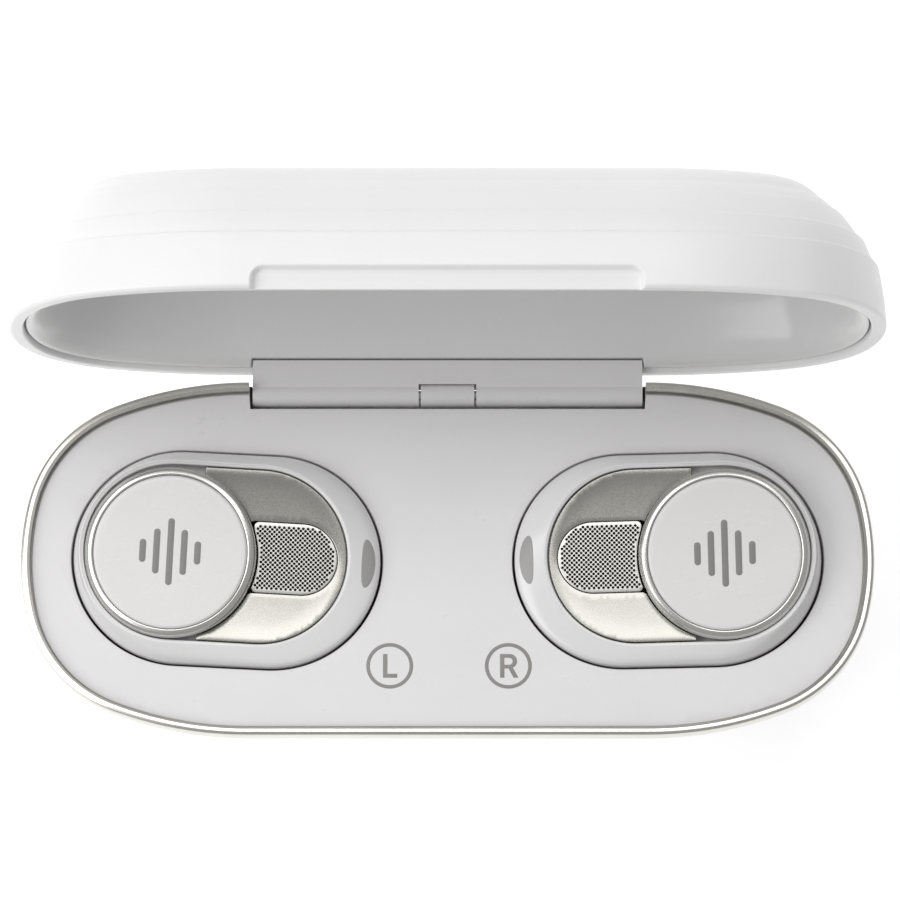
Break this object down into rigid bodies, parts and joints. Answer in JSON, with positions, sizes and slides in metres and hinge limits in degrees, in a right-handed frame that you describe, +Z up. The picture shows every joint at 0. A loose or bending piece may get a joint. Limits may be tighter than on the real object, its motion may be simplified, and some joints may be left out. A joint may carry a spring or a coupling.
{
  "type": "wireless earbuds case",
  "caption": "Oval clamshell charging case with stepped ledges, standing open on its hinge, with a pair of earbuds seated in its deck.",
  "frame": {"origin": "centre of the flat underside of the base, on the surface it stands on", "axes": "+Z up, +X along the case to the right as seen from the front, +Y to the hinge at the back; the lid stands open"},
  "size_m": [0.0706, 0.0425, 0.0497],
  "materials": {
    "shell_white": "satin",
    "deck_white": "satin gloss",
    "liner_white": "satin gloss",
    "ring_metal": "satin",
    "bud_white": "gloss",
    "face_metal": "satin",
    "mesh_metal": "satin",
    "bezel_metal": "polished",
    "disc_white": "satin",
    "silicone": "matte",
    "steel": "plain",
    "cell_can": "satin",
    "foam": "matte",
    "board": "satin",
    "chip_black": "matte",
    "clear_pipe": "clear",
    "magnet": "plated",
    "contact_gold": "plated"
  },
  "bodies": {
    "base": {"base_shell": "shell_white", "trim_ring": "ring_metal", "deck_tray": "deck_white", "hinge_bracket": "deck_white", "bracket_screws": "steel", "hinge_pin": "steel", "case_battery": "cell_can", "battery_pad": "foam", "main_board": "board", "board_chips": "chip_black", "board_posts": "deck_white", "board_screws": "steel", "usb_c_socket": "steel", "usb_c_tongue": "chip_black", "button_switch": "chip_black", "light_pipe": "clear_pipe", "hall_sensor": "chip_black", "base_magnets": "magnet", "well_magnets": "magnet", "left_pogo_holder": "chip_black", "right_pogo_holder": "chip_black"},
    "lid": {"lid_shell": "shell_white", "lid_liner": "liner_white", "lid_hinge_block": "deck_white", "lid_magnets": "magnet"},
    "left_earbud": {"left_bud_cover": "bud_white", "left_bud_body": "bud_white", "left_face_plate": "face_metal", "left_vent_mesh": "mesh_metal", "left_touch_bezel": "bezel_metal", "left_touch_disc": "disc_white", "left_ear_tip": "silicone", "left_nozzle_screen": "mesh_metal", "left_driver": "chip_black", "left_coin_cell": "cell_can", "left_bud_board": "board", "left_microphone": "steel", "left_bud_contacts": "contact_gold", "left_bud_magnet": "magnet"},
    "right_earbud": {"right_bud_cover": "bud_white", "right_bud_body": "bud_white", "right_face_plate": "face_metal", "right_vent_mesh": "mesh_metal", "right_touch_bezel": "bezel_metal", "right_touch_disc": "disc_white", "right_ear_tip": "silicone", "right_nozzle_screen": "mesh_metal", "right_driver": "chip_black", "right_coin_cell": "cell_can", "right_bud_board": "board", "right_microphone": "steel", "right_bud_contacts": "contact_gold", "right_bud_magnet": "magnet"},
    "button": {"pairing_button": "shell_white"},
    "left_pogo_pin_outer": {"left_pogo_pin_outer": "contact_gold"},
    "left_pogo_pin_inner": {"left_pogo_pin_inner": "contact_gold"},
    "right_pogo_pin_outer": {"right_pogo_pin_outer": "contact_gold"},
    "right_pogo_pin_inner": {"right_pogo_pin_inner": "contact_gold"}
  },
  "joints": [
    {"name": "lid_hinge", "type": "hinge", "parent": "base", "child": "lid", "pos_m": [0, 0.01415, 0.0202], "axis": [1, 0, 0], "range_deg": [0, 88]},
    {"name": "left_earbud_lift", "type": "slide", "parent": "base", "child": "left_earbud", "axis": [0, 0, 1], "range_m": [0, 0.052]},
    {"name": "right_earbud_lift", "type": "slide", "parent": "base", "child": "right_earbud", "axis": [0, 0, 1], "range_m": [0, 0.052]},
    {"name": "pairing_button_press", "type": "slide", "parent": "base", "child": "button", "axis": [0, -0.9703, 0.2419], "range_m": [0, 0.0003], "stiffness_N_per_m": 800, "springref_m": -0.0004},
    {"name": "left_pogo_pin_outer_press", "type": "slide", "parent": "base", "child": "left_pogo_pin_outer", "axis": [0, 0, -1], "range_m": [0, 0.0005], "stiffness_N_per_m": 400, "springref_m": -0.0003},
    {"name": "left_pogo_pin_inner_press", "type": "slide", "parent": "base", "child": "left_pogo_pin_inner", "axis": [0, 0, -1], "range_m": [0, 0.0005], "stiffness_N_per_m": 400, "springref_m": -0.0003},
    {"name": "right_pogo_pin_outer_press", "type": "slide", "parent": "base", "child": "right_pogo_pin_outer", "axis": [0, 0, -1], "range_m": [0, 0.0005], "stiffness_N_per_m": 400, "springref_m": -0.0003},
    {"name": "right_pogo_pin_inner_press", "type": "slide", "parent": "base", "child": "right_pogo_pin_inner", "axis": [0, 0, -1], "range_m": [0, 0.0005], "stiffness_N_per_m": 400, "springref_m": -0.0003}
  ]
}
